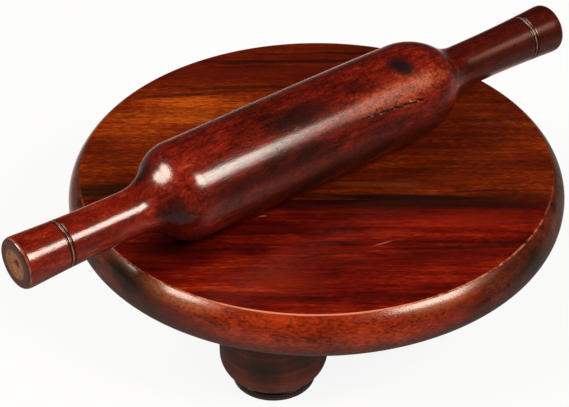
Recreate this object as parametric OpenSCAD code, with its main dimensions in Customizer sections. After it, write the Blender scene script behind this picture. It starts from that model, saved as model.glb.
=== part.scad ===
// Round rolling board on three turned legs, with its one-piece turned rolling pin lying across it.
// Millimetres, +Z up. The origin is on the ground, on the board's own axis.
// The front of the board is towards -Y, and the grain of the planks runs along X.

/* [Board] */
// Diameter of the board at its widest point
board_d = 240; // [225:5:300]
// Thickness of the board
board_t = 22.5; // [18:0.5:32]
// How far in front of the centre the glued seam between the two planks lies
seam_offset = 27; // [15:1:40]
// How far in from the widest point the round of the rim would meet the rolling face
face_inset = 5.7; // [3:0.1:7.5]
// Radius that breaks the edge between the rolling face and the rim
face_edge_r = 1.2; // [0.4:0.1:2]
// Depth of the widest point below the rolling face
widest_depth = 12; // [8:1:14]
// How far in from the widest point the flat underside ends
underside_inset = 6; // [3:0.1:9]

/* [Seam dowels] */
// Diameter of the hidden dowels that cross the seam
dowel_d = 8; // [6:1:10]
// Length of each dowel, half of it in each plank
dowel_length = 36; // [24:2:40]
// Distance between neighbouring dowels along the seam
dowel_pitch = 66; // [50:2:80]

/* [Legs] */
// Distance of each leg's axis from the board's axis
leg_circle_r = 82.4; // [76:0.2:86]
// Direction of the front leg, turned from +X towards +Y
front_leg_angle = -104; // [-105:0.5:-80]
// Height of a leg from its pad to the board's underside
leg_h = 38.5; // [38:0.5:60]
// Diameter of a leg where it meets the board
leg_top_d = 48; // [40:0.5:52]
// Diameter of a leg at the middle of its bulge
leg_bulge_d = 50.4; // [48:0.2:54]
// Depth below the board at which the bulge is fullest
leg_bulge_depth = 12; // [8:1:14]
// Radius of the big rounding above the foot
leg_round_r = 13; // [11:0.5:16]
// Height of the plain turned ring at the foot
foot_ring_h = 1.8; // [1:0.1:3]
// Diameter of the turned ring at the foot
foot_ring_d = 39; // [34:0.5:42]
// Radius of the tool that cuts the groove above the foot ring
foot_groove_r = 0.6; // [0.3:0.1:0.8]
// Diameter of the spigot on top of a leg
spigot_d = 22; // [14:1:24]
// Length of the spigot
spigot_length = 12; // [8:0.5:14]

/* [Foot pads] */
// Thickness of the pad under each leg
pad_t = 2; // [1:0.1:4]
// How far the pad's edge stands inside the foot ring
pad_inset = 0.3; // [0:0.1:2]

/* [Fits] */
// Radial clearance of glued spigots and dowels in their holes
glue_clearance = 0.05; // [0.02:0.01:0.1]
// Room for glue left at the blind end of each of those holes
glue_room = 0.8; // [0.4:0.1:2]
// Gap between the rolling pin and the rolling face it lies on
pin_rest_gap = 0.3; // [0.1:0.05:0.5]

/* [Rolling pin] */
// Overall length of the pin
pin_length = 318.8; // [280:0.4:400]
// Diameter of the barrel in the middle
barrel_d = 48.4; // [40:0.2:60]
// How much smaller the barrel's diameter is where the shoulders begin
barrel_crown = 0.8; // [0:0.1:3]
// Length of one handle, from its end to where the shoulder begins to rise
handle_length = 60.4; // [58:0.2:80]
// Length along the axis of the shoulder at the front end of the barrel
front_shoulder = 30; // [24:0.5:40]
// Length along the axis of the shoulder at the rear end of the barrel
rear_shoulder = 36; // [24:0.5:40]
// Share of the front shoulder taken by the hollow curve at its foot
front_hollow_share = 0.55; // [0.3:0.01:0.7]
// Share of the rear shoulder taken by the hollow curve at its foot
rear_hollow_share = 0.4; // [0.3:0.01:0.7]
// Diameter of a handle at its thinnest
neck_d = 21.8; // [18:0.2:26]
// Distance from the end of the pin to the thinnest point of the handle
neck_from_end = 54; // [40:1:56]
// Diameter of a handle near its end
handle_end_d = 24.6; // [20:0.2:30]
// Length along the axis of the rounding at the end of a handle
end_round_length = 2.6; // [1:0.1:6]
// Depth of that rounding, in from the handle's side
end_round_depth = 1.8; // [1:0.1:5]
// Distance from the front end of the pin to the pair of rings turned in that handle
front_ring_from_end = 22.6; // [16:0.2:34]
// Distance from the rear end of the pin to the pair of rings turned in that handle
rear_ring_from_end = 17.2; // [16:0.2:34]
// Distance between the two turned rings
ring_pitch = 1.8; // [1.2:0.1:3]
// Radius of the tool that cuts each turned ring
ring_cut_r = 0.55; // [0.3:0.05:0.6]
// Direction of the pin's axis, turned from +X towards +Y
pin_yaw = 38.5; // [0:0.5:90]
// Place of the pin's middle along X
pin_x = -6.9; // [-20:0.1:20]
// Place of the pin's middle along Y
pin_y = -10.1; // [-20:0.1:20]

/* [Hidden] */

$fn = 96;
eps = 0.01;

rear_wood = [0.52, 0.26, 0.09];
front_wood = [0.45, 0.12, 0.07];
leg_wood = [0.36, 0.13, 0.09];
dowel_wood = [0.72, 0.58, 0.38];
pad_rubber = [0.12, 0.12, 0.12];
pin_wood = [0.47, 0.14, 0.08];

board_r = board_d / 2;
underside_z = pad_t + leg_h;
face_z = underside_z + board_t;
seam_y = -seam_offset;
dowel_z = underside_z + board_t / 2;

leg_spacing = 120;
front_leg = front_leg_angle;
right_leg = front_leg_angle + leg_spacing;
left_leg = front_leg_angle + 2 * leg_spacing;
leg_angles = [front_leg, right_leg, left_leg];

foot_ring_r = foot_ring_d / 2;
foot_groove_z = foot_ring_h + foot_groove_r;

// Shortest straight stretch between two curves of the pin's outline
outline_step = 1;
barrel_r = barrel_d / 2;
shoulder_top_r = barrel_r - barrel_crown / 2;
neck_r = neck_d / 2;
handle_end_r = handle_end_d / 2;
flare_start = end_round_length + 2 * outline_step;
pin_axis_z = face_z + pin_rest_gap + barrel_r;

// Steps in a short rounded stretch of an outline, and in a long gentle one
arc_steps = 14;
long_steps = 20;

// Points along an elliptical arc, both of its ends included
function arc(centre, radii, from, to, steps = arc_steps) = [
    for (i = [0:steps])
        let (a = from + (to - from) * i / steps)
        centre + [radii[0] * cos(a), radii[1] * sin(a)]
];

// Points along a parabola that is level at its apex, from the far point to the apex
function level_curve(apex, far, steps = long_steps) = [
    for (i = [steps:-1:0])
        let (t = i / steps)
        [apex[0] + (far[0] - apex[0]) * t * t, apex[1] + (far[1] - apex[1]) * t]
];

function reversed(list) = [for (i = [len(list) - 1:-1:0]) list[i]];

// The whole turned disc before the seam splits it
module board_disc() {
    widest_z = board_t - widest_depth;
    lower = arc([board_r - underside_inset, widest_z], [underside_inset, widest_z], -90, 0);
    rim_r = (face_inset * face_inset + widest_depth * widest_depth) / (2 * face_inset);
    rim_x = board_r - rim_r;
    edge_z = board_t - face_edge_r;
    edge_x = rim_x + sqrt(pow(rim_r - face_edge_r, 2) - pow(edge_z - widest_z, 2));
    edge_angle = atan2(edge_z - widest_z, edge_x - rim_x);
    upper = arc([rim_x, widest_z], [rim_r, rim_r], 0, edge_angle);
    edge = arc([edge_x, edge_z], [face_edge_r, face_edge_r], edge_angle, 90);
    translate([0, 0, underside_z])
        rotate_extrude()
            polygon(concat([[0, 0]], lower, upper, edge, [[0, board_t]]));
}

// Everything behind the seam, as a plain block that is larger than the board
module behind_seam() {
    translate([-board_d, seam_y, 0])
        cube([2 * board_d, 2 * board_d, face_z + board_t]);
}

module at_leg(angle) {
    rotate(angle)
        translate([leg_circle_r, 0, 0])
            children();
}

// Blind holes in the underside that take the spigots
module leg_sockets() {
    socket_depth = spigot_length + glue_room;
    for (angle = leg_angles)
        at_leg(angle)
            translate([0, 0, underside_z - eps])
                cylinder(h = socket_depth + eps, d = spigot_d + 2 * glue_clearance);
}

// A rod across the seam, at one of the dowel places: -1, 0 or 1
module across_seam(place, length, diameter) {
    translate([place * dowel_pitch, seam_y, dowel_z])
        rotate([90, 0, 0])
            cylinder(h = length, d = diameter, center = true);
}

module dowel_holes() {
    for (place = [-1:1])
        across_seam(place, dowel_length + 2 * glue_room, dowel_d + 2 * glue_clearance);
}

module rear_plank() {
    color(rear_wood)
        difference() {
            intersection() {
                board_disc();
                behind_seam();
            }
            leg_sockets();
            dowel_holes();
        }
}

module front_plank() {
    color(front_wood)
        difference() {
            board_disc();
            behind_seam();
            leg_sockets();
            dowel_holes();
        }
}

module seam_dowel(place) {
    color(dowel_wood)
        across_seam(place, dowel_length, dowel_d);
}

// Half of a leg's turned outline, with the pad at the bottom and the spigot at the top
module leg_section() {
    top_r = leg_top_d / 2;
    bulge_r = leg_bulge_d / 2;
    bulge_z = leg_h - leg_bulge_depth;
    foot_angle = -acos((foot_ring_r - bulge_r + leg_round_r) / leg_round_r);
    round_z = foot_groove_z + foot_groove_r - leg_round_r * sin(foot_angle);
    foot = [[0, 0], [foot_ring_r, 0]];
    rounding = arc([bulge_r - leg_round_r, round_z], [leg_round_r, leg_round_r], foot_angle, 0);
    flare = reversed(level_curve([bulge_r, bulge_z], [top_r, leg_h]));
    spigot = [
        [spigot_d / 2, leg_h],
        [spigot_d / 2, leg_h + spigot_length],
        [0, leg_h + spigot_length]
    ];
    difference() {
        polygon(concat(foot, rounding, flare, spigot));
        translate([foot_ring_r, foot_groove_z])
            circle(r = foot_groove_r, $fn = 32);
    }
}

module leg(angle) {
    color(leg_wood)
        at_leg(angle)
            translate([0, 0, pad_t])
                rotate_extrude()
                    leg_section();
}

module foot_pad(angle) {
    color(pad_rubber)
        at_leg(angle)
            cylinder(h = pad_t, r = foot_ring_r - pad_inset);
}

// Outline of one half of the pin, from its end at 0 to its middle, as [radius, distance].
// The hollow and the round of the shoulder are two arcs that meet at the slope.
function pin_half_outline(shoulder, hollow_share) =
    let (
        slope = 2 * atan((shoulder_top_r - neck_r) / shoulder),
        hollow_r = shoulder / sin(slope) * hollow_share,
        round_r = shoulder / sin(slope) - hollow_r,
        shoulder_end = handle_length + shoulder
    )
    concat(
        [[0, 0]],
        arc([handle_end_r - end_round_depth, end_round_length],
            [end_round_depth, end_round_length], -90, 0),
        level_curve([neck_r, neck_from_end], [handle_end_r, flare_start]),
        arc([neck_r + hollow_r, handle_length], [hollow_r, hollow_r], 180, 180 - slope),
        arc([shoulder_top_r - round_r, shoulder_end], [round_r, round_r], -slope, 0),
        level_curve([barrel_r, pin_length / 2], [shoulder_top_r, shoulder_end + outline_step])
    );

// Radius of a handle's flare at a distance from the end of the pin
function handle_r(distance) =
    let (t = (neck_from_end - distance) / (neck_from_end - flare_start))
    neck_r + (handle_end_r - neck_r) * t * t;

module ring_cuts(from_end) {
    for (ring = [from_end, from_end + ring_pitch])
        translate([handle_r(ring), ring])
            circle(r = ring_cut_r, $fn = 32);
}

module pin_section() {
    front_half = pin_half_outline(front_shoulder, front_hollow_share);
    rear_from_end = reversed(pin_half_outline(rear_shoulder, rear_hollow_share));
    rear_half = [for (p = rear_from_end) [p[0], pin_length - p[1]]];
    difference() {
        polygon(concat(front_half, rear_half));
        ring_cuts(front_ring_from_end);
        translate([0, pin_length])
            mirror([0, 1])
                ring_cuts(rear_ring_from_end);
    }
}

module rolling_pin() {
    color(pin_wood)
        translate([pin_x, pin_y, pin_axis_z])
            rotate([0, 90, pin_yaw])
                translate([0, 0, -pin_length / 2])
                    rotate_extrude()
                        pin_section();
}

rear_plank();
front_plank();
seam_dowel(-1);  // seam_dowel_left
seam_dowel(0);  // seam_dowel_middle
seam_dowel(1);  // seam_dowel_right
leg(front_leg);  // leg_front
leg(right_leg);  // leg_right
leg(left_leg);  // leg_left
foot_pad(front_leg);  // foot_pad_front
foot_pad(right_leg);  // foot_pad_right
foot_pad(left_leg);  // foot_pad_left
rolling_pin();
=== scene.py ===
"""Round rolling board on three turned legs, with its rolling pin lying across it."""

import math
from types import SimpleNamespace

import bmesh
import bpy
import numpy as np
from mathutils import Matrix, Vector, noise


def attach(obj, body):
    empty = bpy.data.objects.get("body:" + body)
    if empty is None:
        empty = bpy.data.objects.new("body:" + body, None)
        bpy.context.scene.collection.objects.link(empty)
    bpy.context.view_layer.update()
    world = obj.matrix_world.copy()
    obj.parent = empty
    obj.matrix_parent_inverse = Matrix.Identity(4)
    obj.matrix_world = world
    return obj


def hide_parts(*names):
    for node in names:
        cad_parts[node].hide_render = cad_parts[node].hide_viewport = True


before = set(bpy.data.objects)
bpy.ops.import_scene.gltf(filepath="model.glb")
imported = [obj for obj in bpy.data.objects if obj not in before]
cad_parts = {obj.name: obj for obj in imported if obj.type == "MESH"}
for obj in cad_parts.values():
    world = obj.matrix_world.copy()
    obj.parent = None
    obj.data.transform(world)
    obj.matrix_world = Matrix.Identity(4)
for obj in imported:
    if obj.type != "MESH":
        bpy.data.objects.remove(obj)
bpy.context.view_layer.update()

# Sizes in millimetres, as the part has them. Meshes are made in metres.
MM = 0.001

# The board and its seam. SEAM_LINE is half of the hairline that shows where the planks meet.
BOARD_R, BOARD_T = 120.0, 22.5
FACE_INSET, FACE_EDGE_R, UNDER_INSET, WIDEST_DEPTH = 5.7, 1.2, 6.0, 12.0
FACE_R = BOARD_R - FACE_INSET
SEAM_Y, SEAM_LINE = -27.0, 0.04
DOWEL_D, DOWEL_LENGTH, DOWEL_PITCH = 8.0, 36.0, 66.0
GLUE, GLUE_ROOM = 0.05, 0.8

# The legs, their places in degrees from +X, and their pads
LEG_CIRCLE_R = 82.4
LEG_ANGLES = {"front": -104.0, "right": 16.0, "left": 136.0}
LEG_H, LEG_TOP_R, BULGE_R, BULGE_DEPTH, ROUND_R = 38.5, 24.0, 25.2, 12.0, 13.0
FOOT_RING_R, FOOT_RING_H, FOOT_EDGE_R, GROOVE_R = 19.5, 1.8, 0.3, 0.6
SPIGOT_R, SPIGOT_LENGTH = 11.0, 12.0
PAD_T, PAD_INSET, PAD_EDGE_R, PAD_TOP_EDGE_R = 2.0, 0.3, 0.5, 0.25
UNDER_Z = PAD_T + LEG_H
FACE_Z = UNDER_Z + BOARD_T

# The pin. Its front half is the one nearer to the camera. Distances are counted from its ends.
PIN_LENGTH, BARREL_R, SHOULDER_TOP_R = 318.8, 24.2, 23.8
HANDLE_LENGTH, NECK_R, NECK_FROM_END, HANDLE_END_R = 60.4, 10.9, 54.0, 12.3
SHOULDERS = {"front": (30.0, 0.55), "rear": (36.0, 0.40)}
RINGS = {"front": (22.6, 24.4), "rear": (17.2, 19.0)}
RING_CUT_R, RING_LIP, RING_CLEAR = 0.55, 0.1, 0.12
END_ROUND_LENGTH, END_ROUND_DEPTH, END_STRAIGHT = 2.6, 1.8, 2.0

# The pin's place. It lies 0.04 mm lower than the CAD pin, whose mesh is less round, to stay below its top.
PIN_YAW, PIN_X, PIN_Y, PIN_ROOM = 38.5, -6.9, -10.1, 0.26
PIN_Z = FACE_Z + PIN_ROOM + BARREL_R

# The hole that the lathe's centre left in an end face, as (radius, depth), and the torn wood around it
CENTRE_HOLE = [
    (0, 1.9), (0.8, 1.8), (1.5, 1.4), (2.1, 0.9), (2.7, 0.62), (3.5, 0.5),
    (4.4, 0.42), (5.3, 0.34), (6.2, 0.26), (6.9, 0.12), (7.4, 0),
]
TORN_R, TORN_DEPTH = 7.0, 0.55

# The drying crack: mm from the pin's middle, and degrees round the pin, over the top from its far side.
# It leans by CRACK_LEAN degrees over its length, and sways by CRACK_SWAY degrees.
CRACK_START, CRACK_LENGTH, CRACK_WIDTH, CRACK_DEPTH = 20.0, 38.0, 0.50, 0.9
CRACK_ANGLE, CRACK_LEAN, CRACK_SWAY, CRACK_WAVE = 148.8, 8.2, 0.55, 0.9

# How many sides a turned mesh has
BOARD_TURNS, LEG_TURNS, PAD_TURNS, ROD_TURNS = 720, 192, 128, 64


# Outlines and turned meshes

def shift(x, y, z):
    """A move by distances in mm."""
    return Matrix.Translation((x * MM, y * MM, z * MM))


def arc(centre, radii, start, end, steps=16):
    """Points on an ellipse between two angles in degrees."""
    turns = np.radians(np.linspace(start, end, steps + 1))
    return [(centre[0] + radii[0] * math.cos(t), centre[1] + radii[1] * math.sin(t)) for t in turns]


def level_curve(apex, far, steps=24):
    """A parabola from a far point to its apex, where it runs along the axis."""
    shares = np.linspace(1, 0, steps + 1)
    return [(apex[0] + (far[0] - apex[0]) * t * t, apex[1] + (far[1] - apex[1]) * t) for t in shares]


def turned(outline, turns):
    """A bmesh of an outline of (radius, height) pairs in mm, turned about Z at the given angles."""
    made = bmesh.new()
    rings = []
    for r, z in outline:
        if r < 1e-6:
            rings.append([made.verts.new((0, 0, z * MM))])
        else:
            rings.append([
                made.verts.new((r * math.cos(t) * MM, r * math.sin(t) * MM, z * MM)) for t in turns])
    count = len(turns)
    for low, high in zip(rings, rings[1:]):
        for i in range(count):
            j = (i + 1) % count
            if len(low) == 1 and len(high) == 1:
                continue
            if len(low) == 1:
                made.faces.new((low[0], high[j], high[i]))
            elif len(high) == 1:
                made.faces.new((low[i], low[j], high[0]))
            else:
                made.faces.new((low[i], low[j], high[j], high[i]))
    made.normal_update()
    return made


def even_turns(count):
    return [2 * math.pi * i / count for i in range(count)]


def finish_mesh(made, name, sharp=35.0):
    """Turns a bmesh into an object with smooth faces and sharp edges where the surface turns quickly."""
    bmesh.ops.recalc_face_normals(made, faces=made.faces)
    mesh = bpy.data.meshes.new(name)
    made.to_mesh(mesh)
    made.free()
    obj = bpy.data.objects.new(name, mesh)
    bpy.context.scene.collection.objects.link(obj)
    smooth(mesh, sharp)
    return obj


def smooth(mesh, sharp=35.0):
    mesh.shade_smooth()
    mesh.set_sharp_from_angle(angle=math.radians(sharp))


def cut(obj, cutters):
    """Cuts holes with other objects, which are removed again."""
    for cutter in cutters:
        step = obj.modifiers.new("hole", "BOOLEAN")
        step.operation = "DIFFERENCE"
        step.solver = "EXACT"
        step.object = cutter
    bpy.context.view_layer.update()
    shaped = obj.evaluated_get(bpy.context.evaluated_depsgraph_get())
    mesh = bpy.data.meshes.new_from_object(shaped)
    obj.modifiers.clear()
    obj.data = mesh
    mesh.name = obj.name
    smooth(mesh)
    for cutter in cutters:
        bpy.data.objects.remove(cutter)
    return obj


def rod(radius, length):
    """A plain rod along Z, centred, for cutting holes."""
    outline = [(0, -length / 2), (radius, -length / 2), (radius, length / 2), (0, length / 2)]
    return finish_mesh(turned(outline, even_turns(ROD_TURNS)), "cutter")


# The board: one turned disc, split at the seam

def board_outline():
    """The disc's outline, from the middle of its underside round the rim to the middle of its face."""
    widest = BOARD_T - WIDEST_DEPTH
    lower = arc((BOARD_R - UNDER_INSET, widest), (UNDER_INSET, widest), -90, 0, 20)
    rim_r = (FACE_INSET ** 2 + WIDEST_DEPTH ** 2) / (2 * FACE_INSET)
    rim_x, edge_z = BOARD_R - rim_r, BOARD_T - FACE_EDGE_R
    edge_x = rim_x + math.sqrt((rim_r - FACE_EDGE_R) ** 2 - (edge_z - widest) ** 2)
    edge_angle = math.degrees(math.atan2(edge_z - widest, edge_x - rim_x))
    upper = arc((rim_x, widest), (rim_r, rim_r), 0, edge_angle, 32)[1:]
    edge = arc((edge_x, edge_z), (FACE_EDGE_R, FACE_EDGE_R), edge_angle, 90, 10)[1:]
    # More rings on the flats keep their faces short and their shading even
    half_r = BOARD_R / 2
    under = [(0, 0), (half_r, 0), (BOARD_R - UNDER_INSET - 1, 0)]
    face = [(edge_x - 0.5, BOARD_T), (edge_x - 8, BOARD_T), (half_r, BOARD_T), (0, BOARD_T)]
    return [(r, z + UNDER_Z) for r, z in under + lower + upper + edge + face]


def plank(name, side):
    """One part of the disc: side is 1 for the part behind the seam and -1 for the part in front."""
    made = turned(board_outline(), even_turns(BOARD_TURNS))
    everything = made.verts[:] + made.edges[:] + made.faces[:]
    seam, away = Vector((0, (SEAM_Y + side * SEAM_LINE) * MM, 0)), (0, -side, 0)
    bmesh.ops.bisect_plane(made, geom=everything, dist=1e-7, plane_co=seam, plane_no=away, clear_outer=True)
    opened = [e for e in made.edges if e.is_boundary]
    bmesh.ops.holes_fill(made, edges=opened, sides=0)
    obj = finish_mesh(made, name)
    lying = Matrix.Rotation(math.pi / 2, 4, "X")
    cutters = []
    for place in (-1, 0, 1):
        hole = rod(DOWEL_D / 2 + GLUE, DOWEL_LENGTH + 2 * GLUE_ROOM)
        hole.matrix_world = shift(place * DOWEL_PITCH, SEAM_Y, UNDER_Z + BOARD_T / 2) @ lying
        cutters.append(hole)
    for place in LEG_ANGLES:
        x, y = leg_place(place)
        if side * (y - SEAM_Y) > -SPIGOT_R:
            hole = rod(SPIGOT_R + GLUE, 2 * (SPIGOT_LENGTH + GLUE_ROOM))
            hole.matrix_world = shift(x, y, UNDER_Z)
            cutters.append(hole)
    return cut(obj, cutters)


# The legs and their pads

def leg_place(place):
    angle = math.radians(LEG_ANGLES[place])
    return LEG_CIRCLE_R * math.cos(angle), LEG_CIRCLE_R * math.sin(angle)


def stand(obj, place, height):
    """Puts a leg or pad at its place and turns it with it, so that one view shows another side of each."""
    turn = Matrix.Rotation(math.radians(LEG_ANGLES[place]), 4, "Z")
    obj.matrix_world = shift(*leg_place(place), height) @ turn
    return obj


def leg_outline():
    """A leg's outline, from the middle of its foot to the top of its spigot."""
    edge_r = FOOT_RING_R - FOOT_EDGE_R
    foot_angle = -math.degrees(math.acos((FOOT_RING_R - BULGE_R + ROUND_R) / ROUND_R))
    groove_z = FOOT_RING_H + GROOVE_R
    round_z = groove_z + GROOVE_R - ROUND_R * math.sin(math.radians(foot_angle))
    foot = [(0, 0), (edge_r, 0)] + arc((edge_r, FOOT_EDGE_R), (FOOT_EDGE_R, FOOT_EDGE_R), -90, 0, 4)[1:]
    groove = arc((FOOT_RING_R, groove_z), (GROOVE_R, GROOVE_R), 270, 90, 12)
    rounding = arc((BULGE_R - ROUND_R, round_z), (ROUND_R, ROUND_R), foot_angle, 0, 36)
    flare = level_curve((BULGE_R, LEG_H - BULGE_DEPTH), (LEG_TOP_R, LEG_H))[::-1]
    spigot = [(SPIGOT_R, LEG_H), (SPIGOT_R, LEG_H + SPIGOT_LENGTH), (0, LEG_H + SPIGOT_LENGTH)]
    return foot + groove + rounding[1:] + flare[1:] + spigot


def leg(place):
    obj = finish_mesh(turned(leg_outline(), even_turns(LEG_TURNS)), "turned_leg_" + place)
    return stand(obj, place, PAD_T)


def pad(place):
    r = FOOT_RING_R - PAD_INSET
    low, top = PAD_EDGE_R, PAD_TOP_EDGE_R
    outline = [(0, 0), (r - low, 0)] + arc((r - low, low), (low, low), -90, 0, 6)[1:]
    outline += arc((r - top, PAD_T - top), (top, top), 0, 90, 4) + [(0, PAD_T)]
    obj = finish_mesh(turned(outline, even_turns(PAD_TURNS)), "rubber_pad_" + place)
    return stand(obj, place, 0)


# The rolling pin, turned along its own X

def handle_r(distance):
    """Radius of a handle, which swells from its neck towards its end."""
    t = (NECK_FROM_END - distance) / (NECK_FROM_END - END_ROUND_LENGTH - END_STRAIGHT)
    return NECK_R + (HANDLE_END_R - NECK_R) * t * t


def pin_handle(rings):
    """A handle's outline, with the two turned rings cut into it."""
    plain = level_curve((NECK_R, NECK_FROM_END), (HANDLE_END_R, END_ROUND_LENGTH + END_STRAIGHT), 60)
    outline = []
    for r, d in plain:
        if all(abs(d - ring) > RING_CUT_R + RING_CLEAR for ring in rings):
            outline.append((r, d))
    for ring in rings:
        before, after = ring - RING_CUT_R - RING_LIP, ring + RING_CUT_R + RING_LIP
        cutting = arc((handle_r(ring), ring), (RING_CUT_R, RING_CUT_R), 262, 98, 14)
        outline += [(handle_r(before), before), *cutting, (handle_r(after), after)]
    return sorted(outline, key=lambda p: p[1])


def pin_half(half):
    """Outline of half the pin as (radius, distance from its end)."""
    shoulder, hollow_share = SHOULDERS[half]
    slope = 2 * math.atan((SHOULDER_TOP_R - NECK_R) / shoulder)
    whole = shoulder / math.sin(slope)
    hollow_r, round_r = whole * hollow_share, whole * (1 - hollow_share)
    shoulder_end = HANDLE_LENGTH + shoulder
    tilt = math.degrees(slope)
    flat_r = HANDLE_END_R - END_ROUND_DEPTH
    end_face = CENTRE_HOLE + [(flat_r - 0.4, 0)]
    end_round = arc((flat_r, END_ROUND_LENGTH), (END_ROUND_DEPTH, END_ROUND_LENGTH), -90, 0, 20)
    hollow = arc((NECK_R + hollow_r, HANDLE_LENGTH), (hollow_r, hollow_r), 180, 180 - tilt, 24)
    crown = arc((SHOULDER_TOP_R - round_r, shoulder_end), (round_r, round_r), -tilt, 0, 32)
    barrel = level_curve((BARREL_R, PIN_LENGTH / 2), (SHOULDER_TOP_R, shoulder_end + 1), 150)
    return end_face + end_round + pin_handle(RINGS[half]) + hollow + crown[1:] + barrel


def crack_depth(along, angle):
    """Depth of the drying crack, at a distance from the pin's middle in mm and an angle in degrees."""
    share = (along - CRACK_START) / CRACK_LENGTH
    if not 0 < share < 1:
        return 0.0
    centre = CRACK_ANGLE + CRACK_LEAN * share + CRACK_SWAY * math.sin(along * CRACK_WAVE)
    # A finer sway, and a width that tapers at both ends and wavers between them
    centre += 0.35 * math.sin(along * 2.3 + 1.0)
    width = CRACK_WIDTH * min(1.0, 5 * share, 6 * (1 - share)) * (0.70 + 0.30 * math.sin(along * 0.55 + 2.0))
    off = abs(angle - centre) * math.radians(1) * BARREL_R
    return CRACK_DEPTH * max(0.0, 1 - off / (width + 0.05)) ** 0.7


def weather(made):
    """Opens the drying crack in the barrel, and tears the wood around the holes in the end faces."""
    for vert in made.verts:
        x, y, z = vert.co / MM
        reach = math.hypot(x, y)
        on_barrel, in_end = reach > 20, abs(z) > PIN_LENGTH / 2 - 2
        if on_barrel:
            depth = crack_depth(z, math.degrees(math.atan2(y, x)))
            vert.co.x *= 1 - depth / reach
            vert.co.y *= 1 - depth / reach
        elif in_end and 0.5 < reach < TORN_R:
            torn = 0.5 + 0.5 * noise.fractal(Vector((x * 0.9, y * 0.9, z * 0.02)), 1.0, 2.0, 3)
            vert.co.z -= math.copysign(TORN_DEPTH * MM * max(0.0, torn) * min(1.0, TORN_R - reach), z)


def pin():
    front = pin_half("front")
    rear = [(r, PIN_LENGTH - d) for r, d in reversed(pin_half("rear"))][1:]
    # The lines along the pin lie closer together where the crack runs
    step, fine_step, fine_from, fine_to = 1.25, 0.28, 147, 161
    degrees = [
        *np.arange(0, fine_from, step),
        *np.arange(fine_from, fine_to, fine_step),
        *np.arange(fine_to, 359.5, step),
    ]
    made = turned([(r, d - PIN_LENGTH / 2) for r, d in front + rear], [math.radians(a) for a in degrees])
    weather(made)
    # Z becomes X, X becomes Y and Y becomes Z, so an angle is counted from the far side over the top
    level = Matrix(((0, 0, 1, 0), (1, 0, 0, 0), (0, 1, 0, 0), (0, 0, 0, 1)))
    made.transform(shift(PIN_X, PIN_Y, PIN_Z) @ Matrix.Rotation(math.radians(PIN_YAW), 4, "Z") @ level)
    return finish_mesh(made, "turned_pin", 50)


# Materials

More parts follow.
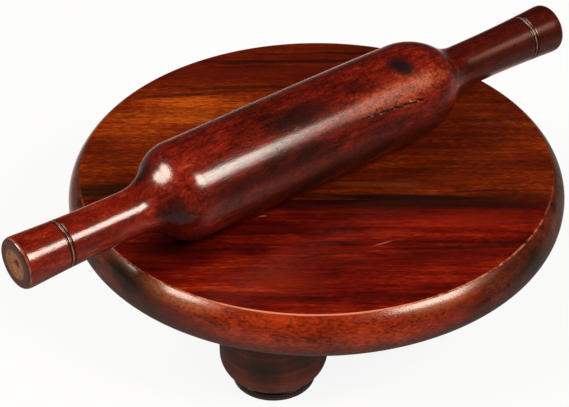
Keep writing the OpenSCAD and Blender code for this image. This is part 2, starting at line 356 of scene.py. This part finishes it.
class Graph:
    """A material's nodes, written as plain calls."""

    def __init__(self, name):
        self.material = bpy.data.materials.new(name)
        self.material.use_nodes = True
        self.tree = self.material.node_tree
        self.tree.nodes.clear()

    def node(self, kind, inputs=(), **settings):
        made = self.tree.nodes.new("ShaderNode" + kind)
        for key, value in settings.items():
            setattr(made, key, value)
        for key, value in dict(inputs).items():
            self.put(made.inputs[key], value)
        return made

    def put(self, socket, value):
        if isinstance(value, bpy.types.NodeSocket):
            self.tree.links.new(value, socket)
        elif value is not None:
            socket.default_value = value

    def math(self, operation, *values):
        return self.node("Math", dict(enumerate(values)), operation=operation).outputs[0]

    def total(self, base, *terms):
        """base plus each value times its weight."""
        for value, weight in terms:
            base = self.math("MULTIPLY_ADD", value, weight, base)
        return base

    def times(self, *values):
        made = values[0]
        for value in values[1:]:
            made = self.math("MULTIPLY", made, value)
        return made

    def length(self, x, y):
        return self.math("SQRT", self.total(0.0, (x, x), (y, y)))

    def angle(self, y, x):
        """The direction of (x, y), from -180 to 180 degrees."""
        return self.times(self.math("ARCTAN2", y, x), 180 / math.pi)

    def vector(self, operation, a, b):
        return self.node("VectorMath", {0: a, 1: b}, operation=operation).outputs["Vector"]

    def split(self, vector):
        return list(self.node("SeparateXYZ", {0: vector}).outputs)

    def join(self, x, y, z):
        return self.node("CombineXYZ", {0: x, 1: y, 2: z}).outputs[0]

    def noise(self, place, pitch, detail=2.0, roughness=0.5, distortion=0.0):
        """Noise of a place in mm, whose features are about the pitch in mm long, wide and high."""
        scaled = self.vector("MULTIPLY", place, tuple(1 / p for p in pitch))
        inputs = {
            "Vector": scaled, "Scale": 1.0,
            "Detail": detail, "Roughness": roughness, "Distortion": distortion,
        }
        return self.node("TexNoise", inputs).outputs["Fac"]

    def fit(self, value, low, high, out_low=0.0, out_high=1.0, curve="LINEAR"):
        """The value's range from low to high, spread over another range, and held at its ends."""
        inputs = {"Value": value, "From Min": low, "From Max": high, "To Min": out_low, "To Max": out_high}
        return self.node("MapRange", inputs, interpolation_type=curve).outputs["Result"]

    def near(self, value, mark, inner, outer, top=1.0):
        """top close to a mark, falling to 0 between two distances from it."""
        distance = self.math("ABSOLUTE", self.math("SUBTRACT", value, mark))
        return self.fit(distance, inner, outer, top, 0.0)

    def spot(self, x, y, centre, size, turn=0.0, inner=0.3):
        """1 inside an ellipse, falling to 0 at its rim."""
        dx, dy = self.math("SUBTRACT", x, centre[0]), self.math("SUBTRACT", y, centre[1])
        c, s = math.cos(math.radians(turn)), math.sin(math.radians(turn))
        a = self.total(0.0, (dx, c / size[0]), (dy, s / size[0]))
        b = self.total(0.0, (dx, -s / size[1]), (dy, c / size[1]))
        return self.fit(self.length(a, b), inner, 1.0, 1.0, 0.0, "SMOOTHSTEP")

    def mix(self, share, a, b):
        made = self.node("Mix", data_type="RGBA")
        self.put(made.inputs[0], share)
        for socket, value in ((made.inputs[6], a), (made.inputs[7], b)):
            self.put(socket, (*value, 1) if isinstance(value, tuple) else value)
        return made.outputs[2]

    def stained(self, colour, x, y, stains, inner=0.3):
        """Lays stains over a colour. Each is a centre, two half widths, a turn, a share and a tint."""
        for centre, size, turn, share, tint in stains:
            colour = self.mix(self.times(self.spot(x, y, centre, size, turn, inner), share), colour, tint)
        return colour

    def ramp(self, share, stops):
        made = self.node("ValToRGB", {0: share})
        marks = made.color_ramp.elements
        while len(marks) < len(stops):
            marks.new(0.5)
        for mark, (place, colour) in zip(marks, stops):
            mark.position = place
            mark.color = (*colour, 1)
        return made.outputs[0]

    def bump(self, height, distance, strength):
        return self.node("Bump", {"Height": height, "Distance": distance, "Strength": strength}).outputs[0]

    def surface(self, inputs):
        shader = self.node("BsdfPrincipled", inputs)
        output = self.node("OutputMaterial")
        self.tree.links.new(shader.outputs[0], output.inputs[0])
        return self.material


def object_mm(g):
    return g.vector("MULTIPLY", g.node("TexCoord").outputs["Object"], (1000, 1000, 1000))


def wood_figure(g, place, seed, band=(90, 8, 8), line=(17, 1.5, 1.5), sway=4.5):
    """Grain along X of a place in mm: broad bands, veins, fine lines, fibres and pores, around 0.5 each."""
    shifted = g.vector("ADD", place, (seed * 137.0, seed * 61.0, seed * 29.0))
    wave, small_wave = g.noise(shifted, (80, 30, 30)), g.noise(shifted, (15, 7, 7))
    lift = g.total(-0.5 * sway - 1.0, (wave, sway), (small_wave, 2.0))
    bent = g.vector("ADD", shifted, g.join(0.0, lift, lift))
    return {
        "band": g.noise(bent, band, 3, 0.55),
        "vein": g.noise(bent, (110, 3.6, 3.6), 2, 0.5),
        "line": g.noise(bent, line, 3, 0.6),
        "fibre": g.noise(bent, (3.6, 0.7, 0.7), 2, 0.6),
        "pore": g.fit(g.noise(bent, (4, 0.5, 0.5), 1, 0.4), 0.60, 0.72),
        "cloud": g.noise(shifted, (26, 12, 12), 3, 0.55),
    }


def lacquered(g, colour, figure, coat_roughness, ripple, coat=1.0, coat_ior=1.6, turning=0.5):
    """Gloss lacquer: a clear coat that follows the grain a little, over wood with a warm sheen."""
    relief = g.total(0.0, (figure["pore"], -1.0), (figure["fibre"], 0.6), (figure["line"], 0.5))
    film = g.total(
        0.0, (figure["pore"], -0.35), (figure["fibre"], 0.6), (figure["line"], 0.25), (turning, 0.8))
    return g.surface({
        "Base Color": colour,
        "Roughness": g.total(0.35, (figure["cloud"], 0.14)),
        "Normal": g.bump(relief, 0.0002, 0.4),
        "Specular IOR Level": 0.2,
        "Specular Tint": (1.0, 0.30, 0.12, 1),
        "Coat Weight": coat,
        "Coat Roughness": coat_roughness,
        "Coat IOR": coat_ior,
        "Coat Normal": g.bump(film, 0.0001, ripple),
    })


# The planks

def board_places(g):
    """Places on the board: out from its axis, round it in degrees, and frontward, from -1 to 1."""
    place = object_mm(g)
    x, y, z = g.split(place)
    reach = g.length(x, y)
    frontward = g.math("DIVIDE", g.math("MULTIPLY", y, -1.0), reach)
    around = g.angle(y, x)
    return SimpleNamespace(place=place, x=x, y=y, z=z, reach=reach, frontward=frontward, around=around)


def rim_finish(g, colour, at, figure):
    """The rim of both planks: orange in front, dark end grain at the sides, painted shade low down, dark
    patches and painted highlights.
    """
    speckle = g.noise(at.place, (2.6, 1.4, 0.8), 2, 0.65)
    patchy = g.noise(at.place, (13, 9, 7), 3, 0.6)
    rim = g.fit(at.reach, FACE_R - 0.7, FACE_R + 0.7, curve="SMOOTHSTEP")

    flecks = g.fit(g.total(0.0, (figure["cloud"], 0.25), (patchy, 0.25), (speckle, 0.5)), 0.39, 0.61)
    warm = g.mix(flecks, (0.10, 0.005, 0.001), (0.48, 0.042, 0.005))
    in_front = g.times(rim, g.fit(at.frontward, 0.76, 0.96), g.total(0.40, (figure["line"], 0.9)))
    colour = g.mix(in_front, colour, warm)

    sides = g.fit(g.total(at.frontward, (patchy, 0.30)), 1.06, 0.84, curve="SMOOTHSTEP")
    end_grain = g.fit(g.total(0.0, (patchy, 0.6), (speckle, 0.4)), 0.40, 0.60)
    dark = g.mix(end_grain, (0.13, 0.024, 0.007), (0.020, 0.0045, 0.003))
    colour = g.mix(g.times(rim, sides, 0.85), colour, dark)

    # Painted shade on the lower, down-facing part of the rim
    lower_rim_shade = g.fit(at.z, UNDER_Z + 12, UNDER_Z + 4.5, curve="SMOOTHSTEP")
    lower_rim_shade = g.times(rim, lower_rim_shade, g.fit(speckle, 0.3, 0.6, 0.95, 0.65))
    colour = g.mix(lower_rim_shade, colour, (0.060, 0.012, 0.005))

    # Dark patches and painted highlights on the rim. Each place is in degrees round the board and mm above
    # its underside
    dark_rim_patches = (
        ((-138, 22), (9.5, 6), 0.95),
        ((-122, 12), (22, 7), 0.3),
        ((-33, 17), (12, 9), 0.8),
        ((-52, 11), (9, 5), 0.4),
    )
    ragged = g.total(at.z, (patchy, 8.0))
    for (angle, height), size, share in dark_rim_patches:
        dark_rim_patch = g.spot(at.around, ragged, (angle, UNDER_Z + height), size, 0, 0.2)
        colour = g.mix(g.times(rim, dark_rim_patch, share), colour, (0.012, 0.005, 0.003))
    # Painted highlights on the upper rim, at its front left and front right
    for (angle, height), size, share in (((-124, 21), (17, 6.5), 0.75), ((-61, 21), (14, 5), 0.45)):
        painted_highlight = g.spot(at.around, at.z, (angle, UNDER_Z + height), size, 0, 0.2)
        patchwork = g.fit(speckle, 0.35, 0.62, 0.25, share)
        colour = g.mix(g.times(rim, painted_highlight, patchwork), colour, (0.46, 0.15, 0.055))
    return colour


def worn_and_lit_edge(g, colour, at):
    """The pale line along the edge of the rolling face: wear, and a painted highlight where the edge catches
    light; unbroken in front and faint at the back.
    """
    on_edge = g.times(
        g.fit(at.reach, FACE_R - 0.9, FACE_R - 0.5),
        g.fit(at.reach, FACE_R - 0.1, FACE_R + 0.4, 1.0, 0.0),
        g.fit(at.z, FACE_Z - 1.3, FACE_Z - 0.8))
    broken = g.fit(g.noise(g.join(at.x, at.y, 0.0), (4, 4, 4), 3, 0.75), 0.42, 0.58, 0.05, 1.0)
    whole = g.math("MAXIMUM", broken, g.fit(at.frontward, 0.85, 0.97))
    # Wear and a painted edge highlight, strongest in front
    wear_and_edge_highlight = g.times(on_edge, whole, g.fit(at.frontward, 0.1, 0.95, 0.05, 1.0))
    return g.mix(wear_and_edge_highlight, colour, (0.86, 0.28, 0.15))


def rear_wood(name, gloss):
    """Golden brown wood, redder at the back, with dark veins and a dark band along the seam."""
    g = Graph(name)
    at = board_places(g)
    figure = wood_figure(g, at.place, 1.0)
    golden = g.spot(at.x, at.y, (-62, 35), (80, 46), -4, 0.15)
    back = g.fit(g.total(at.y, (figure["cloud"], 20.0)), 78, 92)
    tone = g.total(
        -1.11, (figure["band"], 1.05), (figure["line"], 0.55), (figure["fibre"], 1.05),
        (figure["cloud"], 0.55), (golden, 0.26), (back, -0.08), (figure["pore"], -0.12))
    colour = g.ramp(tone, [
        (0, (0.040, 0.0040, 0.0006)),
        (0.35, (0.105, 0.0095, 0.0008)),
        (0.6, (0.190, 0.0180, 0.0012)),
        (0.85, (0.36, 0.048, 0.0024)),
        (1, (0.50, 0.090, 0.006)),
    ])
    colour = g.mix(g.times(back, 0.55), colour, (0.095, 0.0045, 0.0015))
    shadowy = g.math("MAXIMUM", back, g.fit(at.y, -8, -22))
    vein = g.times(g.fit(figure["vein"], 0.55, 0.64), g.total(0.30, (shadowy, 0.5)))
    colour = g.mix(vein, colour, (0.018, 0.0035, 0.0018))
    colour = g.stained(colour, at.x, at.y, (
        ((-66, 64.5), (46, 2.3), 6, 0.60, (0.030, 0.005, 0.003)),
        ((-40, 71), (52, 2.0), 3, 0.40, (0.035, 0.005, 0.003)),
        ((-98, -19), (42, 9), 4, 0.85, (0.020, 0.006, 0.002)),
        ((-82, 2), (38, 1.4), 1, 0.60, (0.035, 0.009, 0.003)),
        ((30, -14.5), (30, 3.2), -2, 0.45, (0.25, 0.060, 0.014)),
        ((46, -25.8), (78, 5.0), -2.2, 0.97, (0.010, 0.0026, 0.0013)),
        ((94, -25), (32, 4.5), -1, 0.65, (0.026, 0.0060, 0.0025)),
        ((97, 3), (5.5, 3), 12, 0.55, (0.040, 0.006, 0.003)),
        ((77, -29.5), (1.6, 0.8), 20, 0.80, (0.45, 0.16, 0.08)),
        ((38, 17), (1.2, 0.6), 0, 0.50, (0.35, 0.12, 0.06)),
    ))
    colour = worn_and_lit_edge(g, rim_finish(g, colour, at, figure), at)
    return lacquered(g, colour, figure, *gloss)


def front_wood(name, gloss):
    """Deep red wood with long dark streaks, a dark band along the seam, and painted shade where the pin lies
    on it.
    """
    g = Graph(name)
    at = board_places(g)
    figure = wood_figure(g, at.place, 3.1, band=(120, 7, 7), line=(20, 1.7, 1.7))
    tone = g.total(
        -1.62, (figure["band"], 1.5), (figure["line"], 0.95), (figure["fibre"], 0.9),
        (figure["cloud"], 0.75), (figure["pore"], -0.12))
    colour = g.ramp(tone, [
        (0, (0.034, 0.0012, 0.0007)),
        (0.35, (0.110, 0.0028, 0.0009)),
        (0.6, (0.190, 0.0062, 0.0012)),
        (0.85, (0.31, 0.023, 0.0030)),
        (1, (0.44, 0.055, 0.009)),
    ])
    vein = g.times(g.fit(figure["vein"], 0.58, 0.66), 0.45)
    colour = g.mix(vein, colour, (0.020, 0.0022, 0.0016))
    colour = g.stained(colour, at.x, at.y, (
        # Painted shadow under the pin's near end
        ((-60, -57), (40, 15), 30, 0.75, (0.018, 0.0016, 0.0010)),
        ((60, -44), (44, 8), -3, 0.25, (0.30, 0.014, 0.003)),
        ((20, -74), (60, 5), 4, 0.45, (0.050, 0.0022, 0.0010)),
        ((-15, -90), (26, 15), -6, 0.20, (0.26, 0.026, 0.003)),
        ((78, -42), (34, 10), 3, 0.40, (0.22, 0.011, 0.002)),
        ((8, -69.5), (24, 1.3), 9, 0.60, (0.022, 0.004, 0.002)),
        ((62, -65), (42, 1.6), 2, 0.80, (0.018, 0.004, 0.002)),
        ((84, -62.5), (15, 3), 3, 0.50, (0.022, 0.004, 0.002)),
        ((50, -29), (88, 8.5), -2, 0.92, (0.012, 0.0026, 0.0013)),
        ((94, -30), (30, 5), 0, 0.65, (0.022, 0.0040, 0.0020)),
        # Dark streaks, with painted shade where the pin's contact shadow falls
        ((0, -32), (46, 8), -2, 0.60, (0.024, 0.0030, 0.0018)),
        ((70, -72), (34, 9), 3, 0.40, (0.070, 0.0030, 0.0018)),
        ((30.5, -61.5), (6.5, 0.7), 24, 0.70, (0.50, 0.12, 0.06)),
        ((-25, -40), (2.6, 0.7), 14, 0.80, (0.45, 0.20, 0.12)),
    ))
    colour = worn_and_lit_edge(g, rim_finish(g, colour, at, figure), at)
    return lacquered(g, colour, figure, *gloss)


# The legs, dowels and pads

def leg_wood():
    """Dark red-brown wood with turning marks, painted shade high up and painted light low down, and a darker
    foot ring.
    """
    g = Graph("leg_wood")
    x, y, z = g.split(object_mm(g))
    figure = wood_figure(g, g.join(z, x, y), 5.3, band=(34, 8, 8))
    rings = g.noise(g.join(z, 0.0, 0.0), (3.2, 3.2, 3.2), 3, 0.6)
    # The lower leg is painted lighter, where it comes out of the board's shadow
    tone = g.total(
        -0.635, (figure["band"], 0.6), (figure["line"], 0.2), (rings, 1.3), (g.fit(z, 27, 17), 0.24))
    colour = g.ramp(tone, [
        (0, (0.010, 0.003, 0.002)),
        (0.5, (0.070, 0.0095, 0.004)),
        (1, (0.22, 0.034, 0.012)),
    ])
    colour = g.mix(g.times(figure["pore"], 0.35), colour, (0.008, 0.002, 0.001))
    ragged = g.total(g.angle(y, x), (figure["band"], 12.0))
    # Patches round the leg, in degrees from its outward side: two brown ones at the sides, and painted shade
    # high up facing outward, where the board's shadow falls
    colour = g.stained(colour, ragged, z, (
        ((-52, 16), (26, 12), 0, 0.45, (0.085, 0.030, 0.012)),
        ((48, 8), (34, 7), 0, 0.40, (0.190, 0.036, 0.014)),
        ((8, 20), (40, 9), 0, 0.85, (0.011, 0.010, 0.007)),
    ), inner=0.15)
    # The foot ring is darker towards its bottom
    foot_ring_dark = g.fit(z, FOOT_RING_H + 0.1, FOOT_RING_H - 0.2, 0.0, 0.8)
    colour = g.mix(foot_ring_dark, colour, (0.020, 0.012, 0.010))
    # Painted shade in the groove above the foot ring
    groove_top = FOOT_RING_H + 2 * GROOVE_R
    groove = g.times(
        g.fit(z, FOOT_RING_H - 0.1, FOOT_RING_H + 0.2),
        g.fit(z, groove_top - 0.2, groove_top + 0.1, 1.0, 0.0))
    colour = g.mix(groove, colour, (0.006, 0.003, 0.002))
    return lacquered(g, colour, figure, 0.22, 0.20, coat=0.8)


def dowel_wood():
    g = Graph("dowel_wood")
    x, y, z = g.split(object_mm(g))
    figure = wood_figure(g, g.join(y, x, z), 8.1)
    colour = g.ramp(g.fit(figure["line"], 0.3, 0.7), [(0, (0.36, 0.24, 0.13)), (1, (0.58, 0.43, 0.25))])
    rough = g.total(0.62, (figure["fibre"], 0.16))
    relief = g.bump(figure["fibre"], 0.0002, 0.4)
    return g.surface({"Base Color": colour, "Roughness": rough, "Normal": relief})


def pad_rubber():
    g = Graph("pad_rubber")
    place = object_mm(g)
    grain, dust = g.noise(place, (0.4, 0.4, 0.4), 3, 0.6), g.noise(place, (5, 5, 5), 3, 0.6)
    colour = g.mix(g.fit(dust, 0.35, 0.7), (0.030, 0.029, 0.030), (0.085, 0.082, 0.082))
    rough = g.fit(grain, 0.3, 0.7, 0.6, 0.8)
    return g.surface({"Base Color": colour, "Roughness": rough, "Normal": g.bump(grain, 0.0001, 0.6)})


# The pin's wood

def pin_places(g):
    """Places on the resting pin: along, across and up from its middle, round it in degrees, and out."""
    x, y, up = g.split(g.vector("SUBTRACT", object_mm(g), (PIN_X, PIN_Y, PIN_Z)))
    c, s = math.cos(math.radians(PIN_YAW)), math.sin(math.radians(PIN_YAW))
    along, across = g.total(0.0, (x, c), (y, s)), g.total(0.0, (x, -s), (y, c))
    turn = g.math("WRAP", g.angle(up, across), 360.0, 0.0)
    place, reach = g.join(along, across, up), g.length(across, up)
    return SimpleNamespace(place=place, along=along, across=across, up=up, turn=turn, reach=reach)


def pin_figure(g, at):
    """The grain of the pin, with the mottled figure, the turning marks, and a patchy mask for wear and
    painted highlights.
    """
    figure = wood_figure(g, at.place, 2.7, band=(26, 9, 9), line=(11, 2.2, 2.2), sway=7.0)
    figure["flame"] = g.noise(at.place, (8, 4.5, 4.5), 4, 0.62, 0.8)
    figure["mottle"] = g.noise(at.place, (3.4, 2.2, 2.2), 3, 0.7, 1.0)
    figure["speckle"] = g.noise(at.place, (1.1, 0.9, 0.9), 2, 0.6)
    figure["turning"] = g.noise(g.join(at.along, 0.0, 0.0), (0.9, 1, 1), 2, 0.6)
    figure["wear"] = g.fit(g.noise(at.place, (3.5, 3.5, 3.5), 2, 0.6), 0.38, 0.58, 0.20, 0.85)
    return figure


def pin_grain(g, at, figure):
    """Red-brown wood, brighter by the shoulders, with painted orange sheen on its top, and a dull far handle
    with a painted highlight.
    """
    far_end, near_end = g.fit(at.along, 84, 100), g.fit(at.along, -88, -100)
    # A lighter patch over the top of the far half: the wood's tone, and painted sheen
    tone_and_sheen = g.spot(at.along, at.turn, (58, 135), (34, 60), 0, 0.1)
    shoulder = g.spot(at.along, at.turn, (-76, 125), (22, 60), 0, 0.1)
    tone = g.total(
        -1.81, (figure["band"], 0.8), (figure["line"], 0.9), (figure["flame"], 0.8), (figure["fibre"], 0.35),
        (figure["speckle"], 0.65), (figure["mottle"], 1.0), (tone_and_sheen, 0.30), (shoulder, 0.18),
        (far_end, -0.12), (near_end, 0.16), (figure["pore"], -0.16))
    colour = g.ramp(tone, [
        (0, (0.022, 0.0022, 0.0015)),
        (0.35, (0.085, 0.0048, 0.0020)),
        (0.6, (0.175, 0.0085, 0.0026)),
        (0.85, (0.30, 0.020, 0.0065)),
        (1, (0.43, 0.056, 0.015)),
    ])
    colour = g.mix(g.times(near_end, 0.15), colour, (0.26, 0.014, 0.003))
    colour = g.mix(g.times(far_end, 0.5), colour, (0.050, 0.0055, 0.003))
    # Painted highlight along the top of the far handle
    painted_highlight = g.spot(at.along, at.turn, (128, 137), (40, 11), 0, 0.2)
    painted_highlight = g.times(painted_highlight, g.fit(figure["turning"], 0.35, 0.65, 0.3, 1.0), 0.5)
    colour = g.mix(painted_highlight, colour, (0.24, 0.060, 0.036))
    # Painted orange sheen along the top, where the lamp's highlight fades out
    grainy = g.total(0.0, (figure["mottle"], 0.45), (figure["speckle"], 0.35), (figure["flame"], 0.20))
    painted_sheen_streak = g.spot(at.along, at.turn, (46, 138.5), (42, 18), 0, 0.4)
    return g.mix(g.times(painted_sheen_streak, g.fit(grainy, 0.41, 0.60, 0.05, 0.95)), colour, (0.54, 0.105, 0.036))


def pin_stains(g, colour, at, figure):
    """The dark knot and smudges, and painted shade in the near shoulder's hollow and under the pin, in mm
    along the pin and degrees round it.
    """
    ragged = g.math("SUBTRACT", g.total(at.turn, (figure["flame"], 14.0)), 7.0)
    return g.stained(colour, at.along, ragged, (
        ((54, 111.5), (12, 25), 0, 0.50, (0.050, 0.004, 0.002)),
        ((54, 111.5), (8.2, 21), -8, 0.95, (0.009, 0.006, 0.008)),
        # Painted shade in the hollow of the near shoulder
        ((-87, 66), (8, 22), 0, 0.75, (0.020, 0.003, 0.003)),
        ((-85, 178), (9, 56), 0, 0.80, (0.018, 0.0025, 0.002)),
        ((-11, 118), (25, 24), -12, 0.85, (0.016, 0.004, 0.004)),
        ((-35, 163), (50, 19), 0, 0.75, (0.026, 0.0035, 0.002)),
        ((-32, 153), (12, 10), 0, 0.75, (0.012, 0.004, 0.003)),
        ((-12, 156), (12, 10), 0, 0.75, (0.012, 0.004, 0.003)),
        # Painted shade on the underside of the barrel and of the near handle
        ((12, 214), (112, 50), 0, 0.92, (0.018, 0.0022, 0.0012)),
        ((-125, 232), (42, 52), 0, 0.50, (0.060, 0.006, 0.003)),
        ((38, 171), (22, 11), 0, 0.60, (0.016, 0.004, 0.003)),
        ((49.5, 153.6), (4.4, 1.3), -9, 0.85, (0.60, 0.28, 0.14)),
    ))


def pin_rings(g, colour, at, wear):
    """Dark turned rings, with a painted highlight on the ridge between the two of each pair."""
    half = PIN_LENGTH / 2
    near_pair, far_pair = [ring - half for ring in RINGS["front"]], [half - ring for ring in RINGS["rear"]]
    for ring in near_pair + far_pair:
        colour = g.mix(g.near(at.along, ring, 0.45, 0.62, 0.85), colour, (0.020, 0.008, 0.006))
    # Painted highlight on the ridge of each pair, broken up by the patchy mask
    for pair in (near_pair, far_pair):
        ridge = g.near(at.along, sum(pair) / 2, 0.28, 0.42)
        colour = g.mix(g.times(ridge, wear), colour, (0.36, 0.19, 0.13))
    return colour


def pin_crack(g, colour, at):
    """A dark line along the crack, which reaches a little past its open part."""
    slope = CRACK_LEAN / CRACK_LENGTH
    sway = g.math("SINE", g.times(at.along, CRACK_WAVE))
    run = g.total(CRACK_ANGLE - CRACK_START * slope, (at.along, slope), (sway, CRACK_SWAY))
    line = g.times(g.near(at.turn, run, 0.7, 2.0), g.fit(at.along, 16, 34), g.fit(at.along, 59, 55), 0.85)
    return g.mix(line, colour, (0.012, 0.004, 0.003))


def pin_ends(g, colour, at, wear):
    """End faces: a dark band around a bare middle with a dark hole in it, and a pale edge ring, worn and
    with a painted highlight.
    """
    half, from_middle = PIN_LENGTH / 2, g.math("ABSOLUTE", at.along)
    end = g.fit(from_middle, half - 1.6, half - 1.1)
    grain = g.noise(g.join(0.0, at.across, at.up), (1.9, 1.9, 0.8), 3, 0.65)
    band = g.mix(g.fit(grain, 0.35, 0.65), (0.014, 0.005, 0.004), (0.068, 0.018, 0.012))
    colour = g.mix(g.times(end, 0.75), colour, band)
    bare = g.ramp(g.fit(grain, 0.32, 0.68), [
        (0, (0.09, 0.028, 0.008)),
        (0.5, (0.23, 0.076, 0.020)),
        (1, (0.40, 0.19, 0.065)),
    ])
    bare = g.mix(g.fit(at.reach, 2.3, 1.2), bare, (0.015, 0.006, 0.003))
    raw = g.times(end, g.fit(g.total(at.reach, (grain, 3.0)), 8.6, 9.2, 1.0, 0.0))
    colour = g.mix(raw, colour, bare)
    # A pale edge ring: wear, with a painted highlight on the rounded edge
    edge = g.times(g.fit(from_middle, half - 1.6, half - 1.2), g.fit(from_middle, half - 0.5, half - 0.8))
    return g.mix(g.times(edge, wear, 0.75), colour, (0.40, 0.17, 0.12))


def pin_wood():
    g = Graph("pin_wood")
    at = pin_places(g)
    figure = pin_figure(g, at)
    colour = pin_stains(g, pin_grain(g, at, figure), at, figure)
    colour = pin_rings(g, colour, at, figure["wear"])
    colour = pin_crack(g, colour, at)
    colour = pin_ends(g, colour, at, figure["wear"])
    return lacquered(g, colour, figure, 0.17, 0.36, coat_ior=1.68, turning=figure["turning"])


# The pieces

def paint(obj, *materials):
    """One material, or two: the first for the flat rolling face, the second for the rest."""
    obj.data.materials.clear()
    for material in materials:
        obj.data.materials.append(material)
    if len(materials) == 2:
        for polygon in obj.data.polygons:
            on_face = polygon.normal.z > 0.99 and polygon.center.z > (FACE_Z - 0.02) * MM
            polygon.material_index = 0 if on_face else 1


def place_piece(obj, materials, body, node):
    paint(obj, *materials)
    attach(obj, body)
    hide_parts(node)


# Roughness, ripple and weight of the coat: the rolling face is duller than the rim, which keeps its gloss
FACE_GLOSS, RIM_GLOSS = (0.30, 0.25, 0.4), (0.20, 0.32, 1.0)

rear = (rear_wood("rear_plank_face", FACE_GLOSS), rear_wood("rear_plank_rim", RIM_GLOSS))
front = (front_wood("front_plank_face", FACE_GLOSS), front_wood("front_plank_rim", RIM_GLOSS))
place_piece(plank("plank_behind_seam", 1), rear, "board", "rear_plank")
place_piece(plank("plank_before_seam", -1), front, "board", "front_plank")
leg_material, pad_material = leg_wood(), pad_rubber()
for spot in LEG_ANGLES:
    place_piece(leg(spot), [leg_material], "board", "leg_" + spot)
    place_piece(pad(spot), [pad_material], "board", "foot_pad_" + spot)
place_piece(pin(), [pin_wood()], "pin", "rolling_pin")
dowel_material = dowel_wood()
for spot in ("left", "middle", "right"):
    paint(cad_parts["seam_dowel_" + spot], dowel_material)


# Floor, light and camera

def floor_paper():
    """White paper. Reflections see painted light in its place: a dark floor, darkest ahead of the object,
    and a glowing pale pink patch behind it.
    """
    g = Graph("floor_paper")
    place = object_mm(g)
    x, y = g.split(place)[:2]
    path = g.node("LightPath").outputs
    paper = g.node("BsdfPrincipled", {
        "Base Color": (0.92, 0.92, 0.92, 1),
        "Roughness": 0.85,
        "Specular IOR Level": 0.1,
        "Normal": g.bump(g.noise(place, (1.1, 1.1, 1.1)), 0.0001, 0.2),
    })
    white = g.node("Emission", {"Color": (1, 1, 1, 1), "Strength": 1.0})
    grey = g.node("Emission", {"Color": (1, 1, 1, 1), "Strength": 0.05})
    # A glowing pink patch that only reflections see: a painted reflection
    reflected_pink_glow = g.node("Emission", {"Color": (1, 0.66, 0.56, 1), "Strength": 1.0})
    # Distances over the floor in mm
    ahead = g.fit(g.total(0.0, (x, 0.62), (y, -0.78)), 150, 210, curve="SMOOTHSTEP")
    behind = g.times(
        g.fit(y, 10, 80, curve="SMOOTHSTEP"), g.fit(y, 300, 450, 1.0, 0.0, "SMOOTHSTEP"),
        g.fit(x, -230, -150, curve="SMOOTHSTEP"), g.fit(x, 90, 180, 1.0, 0.0, "SMOOTHSTEP"))
    layers = (
        (g.times(path["Is Camera Ray"], 0.9), white),
        (g.times(path["Is Glossy Ray"], g.total(0.86, (ahead, 0.14))), grey),
        (g.times(path["Is Glossy Ray"], behind), reflected_pink_glow),
    )
    seen = paper
    for share, light in layers:
        seen = g.node("MixShader", {0: share, 1: seen.outputs[0], 2: light.outputs[0]})
    g.tree.links.new(seen.outputs[0], g.node("OutputMaterial").inputs[0])
    return g.material


def flat_floor():
    """A large square, just below the pads so that it doesn't cut into them."""
    made = bmesh.new()
    half_side, drop = 6.0, 0.00002
    bmesh.ops.create_grid(made, x_segments=8, y_segments=8, size=half_side)
    obj = finish_mesh(made, "floor")
    obj.location.z = -drop
    paint(obj, floor_paper())


def soft_box(name, shape, azimuth, elevation, roll, distance, size, power):
    """A soft light that looks at the object. Azimuth is counted from +X towards +Y."""
    data = bpy.data.lights.new(name, "AREA")
    data.shape = shape
    data.color = (1.0, 0.92, 0.80)
    data.size, data.size_y = size
    data.energy = power
    obj = bpy.data.objects.new(name, data)
    bpy.context.scene.collection.objects.link(obj)
    a, e = math.radians(azimuth), math.radians(elevation)
    way = Vector((math.cos(e) * math.cos(a), math.cos(e) * math.sin(a), math.sin(e)))
    across = Vector((0, 0, 1)).cross(way).normalized()
    turn = Matrix((across, way.cross(across), way)).transposed().to_4x4()
    roll = Matrix.Rotation(math.radians(roll), 4, "Z")
    middle = Vector((0, 0, 0.07))
    obj.matrix_world = Matrix.Translation(middle + way * distance) @ turn @ roll


def studio_world():
    """A dim room, which the camera sees as white and reflections see as dark."""
    world = bpy.data.worlds.new("studio")
    world.use_nodes = True
    tree = world.node_tree
    tree.nodes.clear()
    path = tree.nodes.new("ShaderNodeLightPath").outputs
    shades = []
    for strength in (0.10, 0.010, 1.0):
        shades.append(tree.nodes.new("ShaderNodeBackground"))
        shades[-1].inputs["Color"].default_value = (1, 1, 1, 1)
        shades[-1].inputs["Strength"].default_value = strength
    room, reflected, backdrop = shades
    seen = room
    for ray, other in (("Is Glossy Ray", reflected), ("Is Camera Ray", backdrop)):
        both = tree.nodes.new("ShaderNodeMixShader")
        tree.links.new(path[ray], both.inputs[0])
        tree.links.new(seen.outputs[0], both.inputs[1])
        tree.links.new(other.outputs[0], both.inputs[2])
        seen = both
    tree.links.new(seen.outputs[0], tree.nodes.new("ShaderNodeOutputWorld").inputs[0])
    bpy.context.scene.world = world


def photo_camera():
    """The camera that was fitted to the outlines of the board and the pin in the photo."""
    data = bpy.data.cameras.new("photo_view")
    data.sensor_fit = "HORIZONTAL"
    data.sensor_width = 36
    data.lens = 137.54
    data.clip_start, data.clip_end = 0.05, 50
    obj = bpy.data.objects.new("photo_view", data)
    bpy.context.scene.collection.objects.link(obj)
    place = Vector((0, -0.86209, 0.66242))
    right = Vector((0.999892, 0.010865, -0.009851))
    up = Vector((0.001642, 0.584546, 0.811359))
    forward = Vector((-0.014574, 0.811288, -0.584466))
    turn = Matrix((right, up, -forward)).transposed().to_4x4()
    obj.matrix_world = Matrix.Translation(place) @ turn
    bpy.context.scene.camera = obj


flat_floor()
soft_box("box_right", "RECTANGLE", -33, 42.5, -28, 1.4, (0.66, 0.52), 14.5)
soft_box("fringe_right", "RECTANGLE", -19, 40, -28, 1.42, (0.72, 0.50), 0.8)
soft_box("box_left", "ELLIPSE", 194, 39, 0, 1.4, (0.86, 0.56), 14.5)
studio_world()
photo_camera()
bpy.context.scene.view_settings.view_transform = "Standard"
